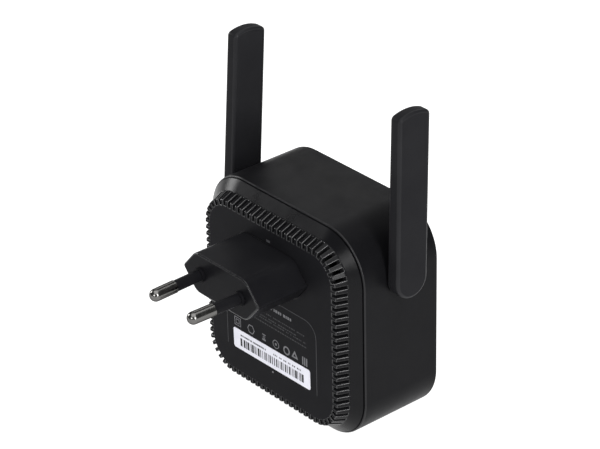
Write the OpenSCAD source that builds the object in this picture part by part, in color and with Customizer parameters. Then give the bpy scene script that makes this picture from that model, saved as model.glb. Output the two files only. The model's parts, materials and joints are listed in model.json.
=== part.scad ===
// Plug-in wifi range extender with two folding antennas.
// Frame: +Z up, the front face looks along -Y, the plug's pins point along +Y.
// Origin: the middle of the plug's face, halfway between the two pins.

/* [Body] */
// Width and height of the square body
body_w = 70.4; // [66:0.2:90]
// Radius of the body's four corners, seen from the front
corner_r = 15.8; // [13:0.1:18]
// Depth of the front housing, from the front face to the parting line
housing_depth = 29.1; // [27:0.1:36]
// Wall thickness of the housing and the rear cover
wall = 1.8; // [1.4:0.1:2.2]
// Thickness of the front wall
front_wall = 2; // [1.6:0.1:2.6]
// Radius along the edge of the front face
front_edge_r = 0.8; // [0.4:0.1:1.4]

/* [Rear cover] */
// Depth of the rim, from the parting line to the flat panel
rim_depth = 6.8; // [5.5:0.1:8.2]
// How far the rim comes in on each side
rim_slope = 4.5; // [4:0.1:6]
// Depth of the rim's steep shoulder, below the flat panel
shoulder_depth = 3.8; // [2.8:0.1:4]
// How far the shoulder leans out over that depth
shoulder_slope = 1.5; // [0.6:0.1:1.8]
// Radius of the soft corner between the shoulder and the slope below it
cove_r = 1.6; // [0.5:0.1:2]
// Step from the housing's outline in to the rim
rim_step = 0.6; // [0.3:0.1:1]
// Width of the groove on the parting line
reveal_w = 0.4; // [0.2:0.1:0.8]
// Depth of that groove, measured from the rim
reveal_depth = 0.8; // [0.4:0.1:1]
// Depth of the skirt that slides into the housing
skirt_depth = 4.5; // [4:0.1:6]
// Thickness of the skirt
skirt_t = 1.2; // [0.8:0.1:1.6]
// Clearance between the skirt and the housing's wall
skirt_gap = 0.15; // [0.05:0.05:0.3]
// Length of a snap ridge on the skirt
snap_len = 8; // [5:0.5:12]
// Height of a snap ridge above the skirt
snap_h = 0.5; // [0.3:0.1:0.7]

/* [Vents] */
// Vent slots along each straight side
side_slots = 17; // [9:2:19]
// Vent slots round each corner
corner_slots = 7; // [4:1:8]
// Width of a vent slot
slot_w = 1.1; // [0.7:0.1:1.3]
// How far a slot runs in over the flat panel
slot_run = 1.8; // [1.2:0.1:3.5]
// How far a slot runs down the shoulder
slot_drop = 3.7; // [2:0.1:3.9]

/* [Plug] */
// How far the plug stands out of the flat panel
plug_reach = 18.7; // [14:0.1:22]
// Width of the plug over its two pointed ends
plug_w = 35.3; // [34:0.1:36]
// Height of the plug
plug_h = 13.6; // [13:0.1:14]
// Width of the plug's flat top and bottom
plug_flat_w = 23.4; // [21:0.1:26]
// Radius on the plug's two pointed ends
plug_edge_r = 1; // [0.3:0.1:2]
// Radius on the four shoulders beside the flat top and bottom
plug_shoulder_r = 4; // [0.3:0.1:5]
// Height of the plug's centre above the body's centre
plug_rise = 16.3; // [14:0.1:18]
// Width of the flange that holds the plug behind the panel
flange_lip = 1.5; // [1:0.1:2]
// Seam between the plug and the panel's window
plug_seam = 0.05; // [0.02:0.01:0.15]
// Diameter of a contact pin
pin_d = 4; // [3.9:0.05:4.1]
// Length of a contact pin outside the plug
pin_len = 19; // [18:0.1:20]
// Distance between the pins at the plug's face
pin_base_gap = 18.6; // [18:0.1:19]
// Distance between the pins at their tips
pin_tip_gap = 17.5; // [17:0.1:18]
// Diameter of the pin's core inside its sleeve
pin_core_d = 3; // [2.6:0.1:3.2]
// Diameter of an insulating sleeve
sleeve_d = 3.6; // [3.4:0.05:3.65]
// Length of the sleeve outside the plug
sleeve_len = 10; // [9:0.5:10]
// Length of the sleeve inside the plug
sleeve_embed = 5; // [3:0.5:8]
// Diameter of the collar at the foot of a sleeve
collar_d = 4.6; // [4.2:0.1:5]
// Thickness of that collar
collar_t = 0.9; // [0.5:0.1:1.5]

/* [Antennas] */
// Length of an antenna from its hinge to its tip
antenna_len = 54.2; // [40:0.2:70]
// Width of an antenna
antenna_w = 11.8; // [11:0.1:14]
// Thickness of an antenna at its root
root_t = 4.7; // [4.5:0.1:6]
// Thickness of an antenna at its tip
tip_t = 4.2; // [4:0.1:5]
// Radius of the arched tip
crown_r = 14; // [9:0.5:30]
// Radius of the tip's two corners
crown_corner_r = 1.6; // [0.8:0.1:2]
// How far the left antenna leans toward the front at rest, in degrees
lean_left = 1.6; // [0:0.1:10]
// How far the right antenna leans toward the front at rest, in degrees
lean_right = 3.8; // [0:0.1:10]
// Height of the hinges above the body's centre
hinge_rise = 20; // [12:0.1:20]
// Distance of the hinges in front of the parting line
hinge_setback = 14.2; // [12:0.1:16]
// Air gap between an antenna and the housing
hinge_gap = 0.4; // [0.3:0.05:0.8]
// Diameter of the hollow hinge barrel
barrel_d = 6; // [5.4:0.1:6.4]
// Radial clearance of the barrel in the housing
barrel_gap = 0.05; // [0.02:0.01:0.1]
// Diameter of the cable bore in the barrel
cable_bore_d = 2.4; // [2:0.1:2.8]
// Thickness of an antenna's inner cover
cover_t = 1; // [0.8:0.1:1.2]
// Seam around an antenna's inner cover
cover_seam = 0.08; // [0.04:0.02:0.15]

/* [Boards] */
// Width of the power board
power_board_w = 54; // [52:0.5:56]
// Height of the power board
power_board_h = 50; // [48:0.5:52]
// Thickness of the power board
power_board_t = 1.6; // [1.2:0.1:2]
// Gap between the rear panel and the power board
power_post_h = 6.6; // [6:0.1:8]
// Thickness of the main board
main_board_t = 1.2; // [1:0.1:1.6]
// Gap between the front wall and the main board
main_post_h = 3; // [2.5:0.1:4]
// Gap between the main board's edge and the housing's wall
main_board_gap = 3.9; // [2.5:0.1:6]
// Diameter of the board screws
screw_d = 2; // [1.8:0.1:2.2]

/* [Light and reset] */
// Diameter of the light pipe in the front wall
light_d = 2.5; // [2:0.1:4]
// Height of the light pipe above the body's centre
light_rise = 18; // [12:0.5:22]
// Diameter of the reset hole in the underside
reset_hole_d = 1.8; // [1.2:0.1:2.4]
// Distance of the reset hole from the middle of the underside
reset_offset = 10; // [-14:0.5:14]
// Travel of the reset plunger
reset_travel = 0.25; // [0.2:0.05:0.4]

/* [Label] */
// Width of the serial label
label_w = 36; // [28:0.5:38]
// Height of the serial label
label_h = 6.9; // [5:0.1:10]
// Distance of the label's centre below the body's centre
label_drop = 16.2; // [14:0.1:20]
// Tilt of the label, as stuck on by hand
label_tilt = 0.8; // [-2:0.1:2]
// Thickness of the label
label_t = 0.12; // [0.08:0.01:0.2]
// Radius of the label's corners
label_corner_r = 0.7; // [0.3:0.1:1.5]

/* [Hidden] */
$fn = 64;
// Cuts and overlaps run this far past a face
over = 1;

// Places along the depth
panel_y = -plug_reach;
part_y = panel_y - rim_depth;
front_y = part_y - housing_depth;
inner_front_y = front_y + front_wall;
inner_panel_y = panel_y - wall;
rim_foot_y = part_y + reveal_w;
skirt_end_y = part_y - skirt_depth;
body_z = -plug_rise;

// Outlines are swept round a square core; these are distances out from it
core = body_w / 2 - corner_r;
rim_r = corner_r - rim_step;
panel_r = rim_r - rim_slope;
skirt_r = corner_r - wall - skirt_gap;
skirt_inner_r = skirt_r - skirt_t;

// In cross-section the rim runs from the panel's edge down a shoulder, then out along a slope to its foot
shoulder_end = [panel_r + shoulder_slope, panel_y - shoulder_depth];
rim_foot = [rim_r, rim_foot_y];
shoulder_out = [shoulder_depth, shoulder_slope] / norm([shoulder_depth, shoulder_slope]);
slope_out = [shoulder_end.y - rim_foot.y, rim_foot.x - shoulder_end.x] / norm(rim_foot - shoulder_end);

// Snap ridges, two on each side of the skirt
snap_w = 1;
snap_play = 0.3;
snap_y = part_y - skirt_depth + snap_w;
snap_spread = 10;

// Plug, pins and sockets
pin_tilt = asin((pin_base_gap - pin_tip_gap) / 2 / pin_len);
flange_y = inner_panel_y;
flange_t = 1.8;
socket_r = 2.4;
socket_depth = 2.8;
socket_floor = 0.8;
power_back_y = inner_panel_y - power_post_h;
power_front_y = power_back_y - power_board_t;
socket_end = power_back_y / cos(pin_tilt) + socket_r * tan(pin_tilt);
pin_tail = socket_end + socket_floor;
plug_core_w = 9.6;
plug_core_h = 9.4;
plug_core_depth = 15;

// Boards, their posts and screws
main_front_y = inner_front_y + main_post_h;
main_back_y = main_front_y + main_board_t;
main_board_half = body_w / 2 - wall - main_board_gap;
main_post_inset = 7;
main_post_at = main_board_half - main_post_inset;
power_post_inset = 3.5;
power_post_x = power_board_w / 2 - power_post_inset;
power_post_z = power_board_h / 2 - power_post_inset;
post_r = 2.6;
screw_head_r = 1.9;
screw_head_t = 1.2;
screw_hole_play = 0.1;
main_screw_bite = 1;
main_screw_len = main_board_t + main_post_h + main_screw_bite;
power_screw_stop = 0.6;
power_screw_len = power_board_t + power_post_h - power_screw_stop;

// Hinges
hinge_y = part_y - hinge_setback;
hinge_z = body_z + hinge_rise;
hinge_boss_r = 5;
hinge_boss_t = 2;
washer_t = 0.45;
washer_r = 4.3;
clip_groove_w = 0.8;
clip_play = 0.05;
clip_groove_depth = 0.5;
clip_neck_r = barrel_d / 2 - clip_groove_depth;
clip_r = 4.1;
clip_mouth = 4;
barrel_end_t = 0.7;
// Distances along the hinge, inward from an antenna's inner face
boss_face = hinge_gap + wall + hinge_boss_t;
washer_face = boss_face + washer_t + clip_play;
barrel_len = washer_face + clip_groove_w + barrel_end_t;

// Inside an antenna
cover_margin = 1.1;
cover_start = 8;
cavity_margin = 1.7;
cavity_start = 5;
outer_skin = 1.2;
element_t = 0.6;
element_margin = 2.2;
element_start = 9;
lead_r = 0.6;
lead_play = 0.2;
lead_depth = (cover_t + tip_t - outer_skin) / 2;
paddle_min_corner = 0.2;

// Main board parts
shield_w = 24;
shield_h = 18;
shield_t = 2;
shield_sheet = 0.25;
shield_rise = 2;
pad_t = 0.6;
spreader_w = 38;
spreader_h = 34;
spreader_t = 1;
sheet_t = 0.25;
sheet_w = 44;
sheet_h = 42;
chip_t = 0.9;
// Chips under the shield, each at [across, up] from the shield's centre
wifi_chip_at = [-5, 0];
wifi_chip_size = [10, chip_t, 10];
memory_chip_at = [6, 3];
memory_chip_size = [8, chip_t, 6];
crystal_at = [6, -4.5];
crystal_size = [3.2, chip_t, 2.5];
pad_inset = 2;
shield_back_y = main_back_y + shield_t;
spreader_y = shield_back_y + pad_t;
sheet_y = spreader_y + spreader_t;

// Antenna cables inside the housing
cable_bend_r = 2.5;
cable_play = 0.1;
cable_start = body_w / 2 + hinge_gap - barrel_len - cable_play;
cable_straight = 1;
cable_x = cable_start - cable_straight - cable_bend_r;
cable_lift = 1;
cable_drop = 6;
coax_plug_r = 1.5;
coax_plug_t = cable_lift + lead_r;

// Light and reset
light_flange_lip = 1;
light_flange_r = light_d / 2 + light_flange_lip;
light_flange_t = 0.8;
led_w = 2;
led_h = 1.25;
led_t = 0.8;
switch_w = 6;
switch_h = 3.6;
switch_t = 3.4;
plunger_w = 2.6;
plunger_t = 1.4;
plunger_len = 2;
plunger_out = 1.1;
plunger_play = 0.1;
switch_y = main_back_y + switch_t / 2;
switch_z = body_z - main_board_half;

// Power board parts, each at [across, up] from the body's centre
transformer_at = [9, -8];
yoke_t = 2.2;
window_t = 8.4;
core_leg_w = 2;
core_half_w = 8.2;
core_half_h = 5;
core_post_r = 3;
bobbin_wall = 0.8;
bobbin_play = 0.1;
bobbin_overhang = 1.5;
winding_t = 2;
input_can_at = [[-17, -6], [-17, -17]];
input_can_r = 4;
input_can_h = 12;
output_can_at = [18, -18.6];
output_can_r = 3.15;
output_can_h = 11;
choke_at = [-6, -18];
choke_r = 3.6;
choke_h = 8;
choke_waist = 0.6;
choke_flange_t = 1;
rectifier_at = [-6, 2];
rectifier_size = [6.4, 2.6, 5];
fuse_at = [-17, 6];
fuse_r = 1.6;
fuse_len = 8;
fuse_stand = 1;
fuse_lead_inset = 1;
leg_r = 0.35;
safety_can_at = [21, 6];
safety_can_r = 4;
safety_can_t = 3.2;
safety_can_stand = 1;
power_chip_at = [-4, -8];
power_chip_size = [5, 1.5, 4];
header_at = [-24.4, 4];
header_pins = 4;
header_pitch = 2.54;
header_pin_w = 0.64;
header_block_t = 2.5;

SHELL_COLOUR = "#1d1d1f";
RIM_COLOUR = "#19191b";
PLUG_COLOUR = "#161618";
METAL_COLOUR = "#b9bbbd";
BOARD_COLOUR = "#1f5c38";
CHIP_COLOUR = "#232527";
COPPER_COLOUR = "#b3703a";

// ---- shared shapes ----

// Sweeps a profile round a square core in the XZ plane. The profile's x is the
// distance out from the core, its y the place along the depth.
module swept_square(low_y, high_y) {
    for (turn = [0 : 90 : 270])
        rotate([0, turn, 0]) {
            translate([core, 0, 0])
                linear_extrude(2 * core, center = true)
                    children();
            translate([core, 0, -core])
                rotate([-90, 0, 0])
                    rotate_extrude(angle = 90)
                        children();
        }
    translate([-core, low_y, -core])
        cube([2 * core, high_y - low_y, 2 * core]);
}

// Solid with the body's rounded-square outline, a distance out from the core
module rounded_block(out, low_y, high_y) {
    swept_square(low_y, high_y)
        translate([0, low_y])
            square([out, high_y - low_y]);
}

// Extrudes an outline drawn in the XZ plane from back_y toward the front
module plate(back_y, thickness) {
    translate([0, back_y, 0])
        rotate([90, 0, 0])
            linear_extrude(thickness)
                children();
}

// Cylinder along Y, from back_y toward the front
module rod(radius, back_y, length) {
    translate([0, back_y, 0])
        rotate([90, 0, 0])
            cylinder(r = radius, h = length);
}

module at_body(across = 0, up = 0) {
    translate([across, 0, body_z + up])
        children();
}

// Box on the front side of the power board
module on_power_board(place, size) {
    at_body(place.x, place.y)
        translate([-size.x / 2, power_front_y - size.y, -size.z / 2])
            cube(size);
}

// Box on the back of the main board
module on_main_board(place, size) {
    at_body(place.x, place.y)
        translate([-size.x / 2, main_back_y, -size.z / 2])
            cube(size);
}

function unit(v) = v / norm(v);

// Arc that rounds one corner of a convex outline
function corner_arc(before, corner, after, radius, steps) =
    let (to_before = unit(before - corner))
    let (to_after = unit(after - corner))
    let (half = acos(to_before * to_after) / 2)
    let (centre = corner + unit(to_before + to_after) * radius / sin(half))
    let (start = corner + to_before * radius / tan(half) - centre)
    let (end = corner + to_after * radius / tan(half) - centre)
    let (from = atan2(start.y, start.x))
    let (turn = (atan2(end.y, end.x) - from + 540) % 360 - 180)
    [for (i = [0 : steps])
        let (angle = from + turn * i / steps)
        centre + radius * [cos(angle), sin(angle)]];

// The radius is one number, or a list with a number for each corner
function rounded_outline(corners, radius, steps = 5) =
    let (count = len(corners))
    [for (i = [0 : count - 1])
        let (before = corners[(i + count - 1) % count])
        let (after = corners[(i + 1) % count])
        let (corner_r = is_list(radius) ? radius[i] : radius)
        each corner_arc(before, corners[i], after, corner_r, steps)];

// ---- casing ----

module snap_ridges(length, height, width) {
    at_body()
        for (turn = [0 : 90 : 270])
            for (side = [-1, 1])
                rotate([0, turn, 0])
                    translate([core + skirt_r - over, snap_y - width / 2, side * snap_spread - length / 2])
                        cube([over + height, width, length]);
}

module screw_posts(half_x, half_z, back_y, length) {
    for (sx = [-1, 1])
        for (sz = [-1, 1])
            at_body(sx * half_x, sz * half_z)
                rod(post_r, back_y, length);
}

// Screws, or with extra radius and length the holes that they sit in
module screw_shanks(half_x, half_z, back_y, length, play = 0) {
    for (sx = [-1, 1])
        for (sz = [-1, 1])
            at_body(sx * half_x, sz * half_z)
                rod(screw_d / 2 + play, back_y, length);
}

module housing_profile() {
    translate([0, front_y + front_edge_r])
        square([corner_r, housing_depth - front_edge_r]);
    translate([0, front_y])
        square([corner_r - front_edge_r, 2 * front_edge_r]);
    translate([corner_r - front_edge_r, front_y + front_edge_r])
        circle(front_edge_r);
}

module hinge_bosses() {
    inner_x = body_w / 2 - wall;
    for (flip = [0, 1])
        mirror([flip, 0, 0])
            translate([inner_x - hinge_boss_t, hinge_y, hinge_z])
                rotate([0, 90, 0])
                    cylinder(r = hinge_boss_r, h = hinge_boss_t + over / 2);
}

module front_housing() {
    color(SHELL_COLOUR)
        difference() {
            union() {
                difference() {
                    at_body()
                        swept_square(front_y, part_y)
                            housing_profile();
                    at_body()
                        rounded_block(corner_r - wall, inner_front_y, part_y + over);
                }
                hinge_bosses();
                screw_posts(main_post_at, main_post_at, main_front_y, main_post_h + front_wall / 2);
            }
            translate([0, hinge_y, hinge_z])
                rotate([0, 90, 0])
                    cylinder(d = barrel_d + 2 * barrel_gap, h = body_w + over, center = true);
            screw_shanks(main_post_at, main_post_at, main_front_y + over,
                main_screw_len - main_board_t + over);
            at_body(0, light_rise)
                rod(light_d / 2, inner_front_y + over, front_wall + 2 * over);
            translate([reset_offset, switch_y, body_z - body_w / 2])
                cylinder(d = reset_hole_d, h = 2 * wall + over, center = true);
            snap_ridges(snap_len + 2 * snap_play, snap_h + skirt_gap, snap_w + snap_play);
        }
}

// Cross-section of the rim, set in by an even thickness
module rim_profile(low_y, inset, reach) {
    shift = -inset * (shoulder_out + slope_out) / (1 + shoulder_out * slope_out);
    corner = shoulder_end + shift;
    top_y = panel_y - inset;
    top = [corner.x - shoulder_slope / shoulder_depth * (top_y - corner.y), top_y];
    foot = rim_foot + shift;
    soft_corner = corner_arc(foot, corner, top, cove_r + inset, 6);
    intersection() {
        translate([0, low_y])
            square([reach, top_y - low_y]);
        polygon(concat([[0, foot.y], foot], soft_corner, [top, [0, top_y]]));
    }
}

module cover_solid() {
    swept_square(rim_foot_y, panel_y)
        rim_profile(rim_foot_y, 0, rim_r);
    rounded_block(rim_r - reveal_depth, part_y, rim_foot_y + over / 2);
    rounded_block(skirt_r, skirt_end_y, part_y + over / 2);
}

module cover_hollow() {
    rounded_block(skirt_inner_r, skirt_end_y - over, rim_foot_y);
    swept_square(rim_foot_y - over / 2, inner_panel_y)
        rim_profile(rim_foot_y - over / 2, wall, skirt_inner_r);
}

// Radial slots that cross the panel's edge, all round
module vent_slots() {
    inner = panel_r - slot_run;
    slot_size = [rim_r - inner + over, slot_drop + over, slot_w];
    pitch = 2 * core / side_slots;
    first_z = -(side_slots - 1) / 2 * pitch - slot_w / 2;
    for (turn = [0 : 90 : 270])
        rotate([0, turn, 0]) {
            for (i = [0 : side_slots - 1])
                translate([core + inner, panel_y - slot_drop, first_z + i * pitch])
                    cube(slot_size);
            for (i = [0 : corner_slots - 1])
                translate([core, panel_y - slot_drop, -core])
                    rotate([0, (i + 0.5) * 90 / corner_slots, 0])
                        translate([inner, 0, -slot_w / 2])
                            cube(slot_size);
        }
}

module plug_outline(grow) {
    half_w = plug_w / 2 + grow;
    half_h = plug_h / 2 + grow;
    half_flat = plug_flat_w / 2 + grow / 2;
    corners = [
        [half_w, 0], [half_flat, half_h], [-half_flat, half_h],
        [-half_w, 0], [-half_flat, -half_h], [half_flat, -half_h]
    ];
    shoulder = plug_shoulder_r;
    radii = [plug_edge_r, shoulder, shoulder, plug_edge_r, shoulder, shoulder];
    polygon(rounded_outline(corners, radii));
}

module rear_cover() {
    color(RIM_COLOUR)
        difference() {
            union() {
                difference() {
                    at_body()
                        cover_solid();
                    at_body()
                        cover_hollow();
                    at_body()
                        vent_slots();
                }
                snap_ridges(snap_len, snap_h, snap_w);
                screw_posts(power_post_x, power_post_z, inner_panel_y + wall / 2, power_post_h + wall / 2);
            }
            plate(panel_y + over, wall + 2 * over)
                plug_outline(plug_seam);
            screw_shanks(power_post_x, power_post_z, power_back_y + power_screw_len - power_board_t,
                power_screw_len - power_board_t + over);
        }
}

// ---- plug ----

// Frame of one pin: its z runs out along the pin, from the plug's face
module at_pin(side) {
    translate([side * pin_base_gap / 2, 0, 0])
        rotate([0, 0, side * pin_tilt])
            rotate([-90, 0, 0])
                children();
}

module plug_body() {
    color(PLUG_COLOUR)
        difference() {
            union() {
                plate(0, plug_reach + wall)
                    plug_outline(0);
                plate(flange_y, flange_t)
                    plug_outline(flange_lip);
            }
            for (side = [-1, 1])
                at_pin(side) {
                    translate([0, 0, -plug_reach - wall - flange_t - over])
                        cylinder(d = pin_core_d, h = plug_reach + wall + flange_t + 2 * over);
                    translate([0, 0, -sleeve_embed])
                        cylinder(d = sleeve_d, h = sleeve_embed + over);
                }
            translate([-plug_core_w / 2, flange_y - flange_t - over, -plug_core_h / 2])
                cube([plug_core_w, plug_core_depth + flange_t + over, plug_core_h]);
        }
}

module contact_pin(side) {
    color(METAL_COLOUR)
        at_pin(side) {
            translate([0, 0, pin_tail])
                cylinder(d = pin_core_d, h = sleeve_len - pin_tail + over);
            translate([0, 0, sleeve_len])
                cylinder(d = pin_d, h = pin_len - pin_d / 2 - sleeve_len);
            translate([0, 0, pin_len - pin_d / 2])
                sphere(d = pin_d);
        }
}

module pin_sleeve(side) {
    collar_lift = collar_d / 2 * tan(pin_tilt);
    color(PLUG_COLOUR)
        at_pin(side)
            difference() {
                union() {
                    translate([0, 0, -sleeve_embed])
                        cylinder(d = sleeve_d, h = sleeve_embed + sleeve_len);
                    translate([0, 0, collar_lift])
                        cylinder(d = collar_d, h = collar_t);
                }
                translate([0, 0, -sleeve_embed - over])
                    cylinder(d = pin_core_d, h = sleeve_embed + sleeve_len + 2 * over);
            }
}

module pin_socket(side) {
    color(METAL_COLOUR)
        at_pin(side)
            translate([0, 0, socket_end])
                difference() {
                    cylinder(r = socket_r, h = socket_floor + socket_depth);
                    translate([0, 0, socket_floor])
                        cylinder(d = pin_core_d, h = socket_depth + over);
                }
}

module serial_label() {
    corners = [
        [label_w, label_h] / 2, [-label_w, label_h] / 2,
        [-label_w, -label_h] / 2, [label_w, -label_h] / 2
    ];
    color("white")
        at_body(0, -label_drop)
            rotate([0, label_tilt, 0])
                plate(panel_y + label_t, label_t)
                    polygon(rounded_outline(corners, label_corner_r));
}

// ---- power board ----

module power_board() {
    color(BOARD_COLOUR)
        difference() {
            at_body()
                plate(power_back_y, power_board_t)
                    square([power_board_w, power_board_h], center = true);
            screw_shanks(power_post_x, power_post_z, power_back_y + over, power_board_t + 2 * over,
                screw_hole_play);
        }
}

module power_board_screws() {
    color(METAL_COLOUR) {
        screw_shanks(power_post_x, power_post_z, power_front_y + power_screw_len, power_screw_len);
        for (sx = [-1, 1])
            for (sz = [-1, 1])
                at_body(sx * power_post_x, sz * power_post_z)
                    rod(screw_head_r, power_front_y, screw_head_t);
    }
}

module transformer_core() {
    leg_x = core_half_w - core_leg_w;
    color("#3a3a3e") {
        on_power_board(transformer_at, [2 * core_half_w, yoke_t, 2 * core_half_h]);
        translate([0, -yoke_t - window_t, 0])
            on_power_board(transformer_at, [2 * core_half_w, yoke_t, 2 * core_half_h]);
        for (side = [-1, 1])
            translate([side * (leg_x + core_leg_w / 2), 0, 0])
                on_power_board(transformer_at, [core_leg_w, 2 * yoke_t + window_t, 2 * core_half_h]);
        at_body(transformer_at.x, transformer_at.y)
            rod(core_post_r, power_front_y - yoke_t / 2, window_t + yoke_t);
    }
}

module transformer_bobbin() {
    flange_w = 2 * (core_half_w - core_leg_w - bobbin_play);
    flange_h = 2 * (core_half_h + bobbin_overhang);
    color("#2b3d4f")
        difference() {
            union() {
                for (shift = [yoke_t, yoke_t + window_t - bobbin_wall])
                    translate([0, -shift, 0])
                        on_power_board(transformer_at, [flange_w, bobbin_wall, flange_h]);
                at_body(transformer_at.x, transformer_at.y)
                    rod(core_post_r + bobbin_wall, power_front_y - yoke_t, window_t);
            }
            at_body(transformer_at.x, transformer_at.y)
                rod(core_post_r, power_front_y, window_t + 2 * yoke_t);
        }
}

module transformer_winding() {
    inner_r = core_post_r + bobbin_wall;
    color(COPPER_COLOUR)
        at_body(transformer_at.x, transformer_at.y)
            difference() {
                rod(inner_r + winding_t, power_front_y - yoke_t - bobbin_wall, window_t - 2 * bobbin_wall);
                rod(inner_r, power_front_y, window_t + 2 * yoke_t);
            }
}

module upright_can(place, radius, height) {
    at_body(place.x, place.y)
        rod(radius, power_front_y, height);
}

module input_capacitors() {
    color("#20242c")
        for (place = input_can_at)
            upright_can(place, input_can_r, input_can_h);
}

module output_capacitor() {
    color("#3b2a52")
        upright_can(output_can_at, output_can_r, output_can_h);
}

module filter_choke() {
    color(COPPER_COLOUR) {
        upright_can(choke_at, choke_r - choke_waist, choke_h);
        for (shift = [0, choke_h - choke_flange_t])
            translate([0, -shift, 0])
                upright_can(choke_at, choke_r, choke_flange_t);
    }
}

module bridge_rectifier() {
    color(CHIP_COLOUR)
        on_power_board(rectifier_at, rectifier_size);
}

module fuse_resistor() {
    color("#7a8f6a")
        at_body(fuse_at.x, fuse_at.y)
            translate([0, power_front_y - fuse_r - fuse_stand, 0]) {
                rotate([0, 90, 0])
                    cylinder(r = fuse_r, h = fuse_len, center = true);
                for (side = [-1, 1])
                    translate([side * (fuse_len / 2 - fuse_lead_inset), 0, 0])
                        rotate([-90, 0, 0])
                            cylinder(r = leg_r, h = fuse_r + fuse_stand);
            }
}

module safety_capacitor() {
    color("#2d6ea3")
        at_body(safety_can_at.x, safety_can_at.y)
            translate([0, power_front_y - safety_can_r - safety_can_stand, 0]) {
                rotate([0, 90, 0])
                    cylinder(r = safety_can_r, h = safety_can_t, center = true);
                for (side = [-1, 1])
                    translate([0, 0, side * safety_can_r / 2])
                        rotate([-90, 0, 0])
                            cylinder(r = leg_r, h = safety_can_r + safety_can_stand);
            }
}

module power_chip() {
    color(CHIP_COLOUR)
        on_power_board(power_chip_at, power_chip_size);
}

module board_header() {
    span = power_front_y - main_back_y;
    color("#c9b068") {
        on_power_board(header_at, [header_pitch, header_block_t, header_pins * header_pitch]);
        for (i = [0 : header_pins - 1])
            on_power_board([header_at.x, header_at.y + (i - (header_pins - 1) / 2) * header_pitch],
                [header_pin_w, span, header_pin_w]);
    }
}

// ---- main board ----

module main_board() {
    board_r = corner_r - wall - main_board_gap;
    color(BOARD_COLOUR)
        difference() {
            at_body()
                rounded_block(board_r, main_front_y, main_back_y);
            screw_shanks(main_post_at, main_post_at, main_back_y + over, main_board_t + 2 * over,
                screw_hole_play);
        }
}

module main_board_screws() {
    color(METAL_COLOUR) {
        screw_shanks(main_post_at, main_post_at, main_back_y, main_screw_len);
        for (sx = [-1, 1])
            for (sz = [-1, 1])
                at_body(sx * main_post_at, sz * main_post_at)
                    rod(screw_head_r, main_back_y + screw_head_t, screw_head_t);
    }
}

module shield_can() {
    color(METAL_COLOUR)
        difference() {
            on_main_board([0, shield_rise], [shield_w, shield_t, shield_h]);
            translate([0, -shield_sheet, 0])
                on_main_board([0, shield_rise],
                    [shield_w - 2 * shield_sheet, shield_t, shield_h - 2 * shield_sheet]);
        }
}

// Box on the main board, placed from the shield's centre
module under_shield(place, size) {
    on_main_board([place.x, place.y + shield_rise], size);
}

module wifi_chip() {
    color(CHIP_COLOUR)
        under_shield(wifi_chip_at, wifi_chip_size);
}

module memory_chip() {
    color(CHIP_COLOUR)
        under_shield(memory_chip_at, memory_chip_size);
}

module clock_crystal() {
    color(METAL_COLOUR)
        under_shield(crystal_at, crystal_size);
}

module thermal_pad() {
    color("#6f8fa8")
        at_body(0, shield_rise)
            plate(spreader_y, pad_t)
                square([shield_w - 2 * pad_inset, shield_h - 2 * pad_inset], center = true);
}

module heat_spreader() {
    color("#a9adb0")
        at_body(0, shield_rise)
            plate(sheet_y, spreader_t)
                square([spreader_w, spreader_h], center = true);
}

module insulating_sheet() {
    color("#d8d3c4")
        at_body(0, shield_rise)
            plate(sheet_y + sheet_t, sheet_t)
                square([sheet_w, sheet_h], center = true);
}

module status_led() {
    color("#e8eef5")
        at_body(0, light_rise)
            plate(main_front_y, led_t)
                square([led_w, led_h], center = true);
}

module light_pipe() {
    led_face_y = main_front_y - led_t;
    color("#dfe7ee")
        at_body(0, light_rise) {
            rod(light_d / 2, led_face_y, led_face_y - front_y);
            rod(light_flange_r, inner_front_y + light_flange_t, light_flange_t);
        }
}

module reset_plunger() {
    color("#e6e6e0")
        translate([reset_offset - plunger_w / 2, switch_y - plunger_t / 2, switch_z - plunger_out])
            cube([plunger_w, plunger_t, plunger_len]);
}

module reset_switch() {
    bore = plunger_len - plunger_out + reset_travel + 2 * plunger_play;
    color(METAL_COLOUR)
        difference() {
            translate([reset_offset - switch_w / 2, main_back_y, switch_z])
                cube([switch_w, switch_t, switch_h]);
            translate([reset_offset - plunger_w / 2 - plunger_play,
                    switch_y - plunger_t / 2 - plunger_play, switch_z - over])
                cube([plunger_w + 2 * plunger_play, plunger_t + 2 * plunger_play, bore + over]);
        }
}

// ---- antennas ----

// Frame of one antenna: origin on the hinge axis at its inner face, x outward
module at_hinge(side) {
    mirror([side < 0 ? 1 : 0, 0, 0])
        translate([body_w / 2 + hinge_gap, hinge_y, hinge_z])
            rotate([side < 0 ? lean_left : lean_right, 0, 0])
                children();
}

// Antenna outline with a round root and an arched tip, set in evenly
module antenna_outline(inset) {
    half_w = antenna_w / 2 - inset;
    crown = crown_r - inset;
    crown_z = antenna_len - crown_r;
    corner = max(crown_corner_r - inset, paddle_min_corner);
    corner_x = half_w - corner;
    corner_z = crown_z + sqrt(pow(crown - corner, 2) - pow(corner_x, 2));
    crown_half = corner_x * crown / (crown - corner);
    circle(half_w);
    translate([-half_w, 0])
        square([2 * half_w, corner_z]);
    for (side = [-1, 1])
        translate([side * corner_x, corner_z])
            circle(corner);
    intersection() {
        translate([0, crown_z])
            circle(crown, $fn = 128);
        translate([-crown_half, 0])
            square([2 * crown_half, antenna_len]);
    }
}

// Extrudes an antenna outline outward between two depths below its inner face
module antenna_slab(inset, from, to) {
    translate([from, 0, 0])
        rotate([90, 0, 90])
            linear_extrude(to - from)
                antenna_outline(inset);
}

// The part of a slab that lies above a height
module above(height) {
    intersection() {
        children();
        translate([-antenna_w, -antenna_w, height])
            cube([2 * antenna_w, 2 * antenna_w, antenna_len]);
    }
}

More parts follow.
